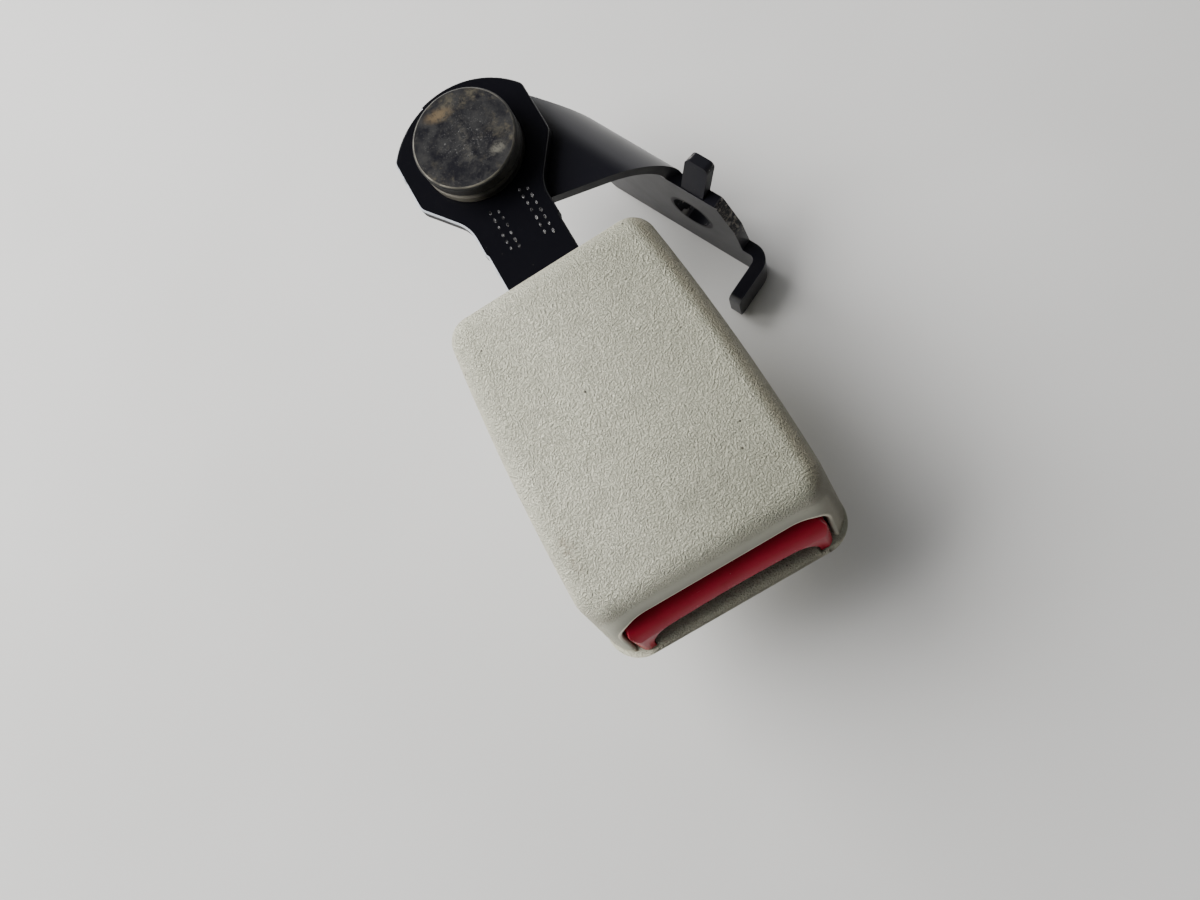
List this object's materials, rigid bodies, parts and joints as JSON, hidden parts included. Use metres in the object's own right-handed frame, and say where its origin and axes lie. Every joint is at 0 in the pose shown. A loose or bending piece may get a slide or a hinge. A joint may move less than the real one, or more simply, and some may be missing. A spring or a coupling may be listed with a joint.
{
  "type": "seat belt buckle",
  "caption": "Seat belt buckle with a push-button release in a two-shell cover, on a steel stalk riveted to a bent anchor bracket with a bolt hole, stop tab and hook.",
  "frame": {"origin": "middle of the tongue slot's mouth, in the tongue's mid-plane", "axes": "+Y along the buckle from the mouth to the stalk's pivot, +Z out of the button's side, +X to the right when the button faces the reader and the mouth is nearest"},
  "size_m": [0.0737, 0.1303, 0.0565],
  "materials": {
    "cover_plastic": "fine-grained, pale warm grey moulded plastic",
    "button_plastic": "smooth dark red moulded plastic",
    "coated_steel": "black electro-coat, worn to a shine on its edges",
    "rivet_steel": "black coat scuffed by handling, a little rust",
    "plated_steel": "zinc plated",
    "spring_steel": "drawn spring wire",
    "guide_plastic": "black moulded plastic",
    "bush_plastic": "off-white bearing plastic"
  },
  "bodies": {
    "anchor": {"anchor_bracket": "coated_steel", "pivot_rivet": "rivet_steel", "spacer_ring": "coated_steel", "friction_washer": "bush_plastic", "tail_washer": "plated_steel"},
    "buckle": {"stalk": "coated_steel", "pivot_bush": "bush_plastic", "buckle_frame": "plated_steel", "stalk_rivets": "plated_steel", "upper_cover": "cover_plastic", "lower_cover": "cover_plastic", "cover_pins": "plated_steel", "tongue_guide": "guide_plastic", "latch_pin": "plated_steel", "latch_spring": "spring_steel", "ejector_spring": "spring_steel", "button_spring_left": "spring_steel", "button_spring_right": "spring_steel"},
    "button": {"release_button": "button_plastic"},
    "lock": {"lock_bar": "plated_steel"},
    "latch": {"latch": "plated_steel"},
    "ejector": {"ejector": "guide_plastic"}
  },
  "joints": [
    {"name": "stalk_swivel", "type": "hinge", "parent": "anchor", "child": "buckle", "pos_m": [0, 0.113, 0.0045], "axis": [0, 0, 1], "range_deg": [-70, 14]},
    {"name": "button_slide", "type": "slide", "parent": "buckle", "child": "button", "axis": [0, 1, 0], "range_m": [0, 0.006], "stiffness_N_per_m": 800, "springref_m": -0.004, "deforming": ["button_spring_left", "button_spring_right"]},
    {"name": "lock_slide", "type": "slide", "parent": "buckle", "child": "lock", "axis": [0, 1, 0], "range_m": [0, 0.006]},
    {"name": "latch_lift", "type": "hinge", "parent": "buckle", "child": "latch", "pos_m": [0, 0.052, 0.006], "axis": [-1, 0, 0], "range_deg": [0, 6.05], "deforming": ["latch_spring"]},
    {"name": "ejector_slide", "type": "slide", "parent": "buckle", "child": "ejector", "axis": [0, 1, 0], "range_m": [0, 0.012], "stiffness_N_per_m": 300, "springref_m": -0.004, "deforming": ["ejector_spring"]}
  ],
  "couplings": [
    {"joint": "lock_slide", "follows": "button_slide", "ratio": 1},
    {"joint": "latch_lift", "follows": "button_slide", "rad_per_m": 17.453}
  ]
}
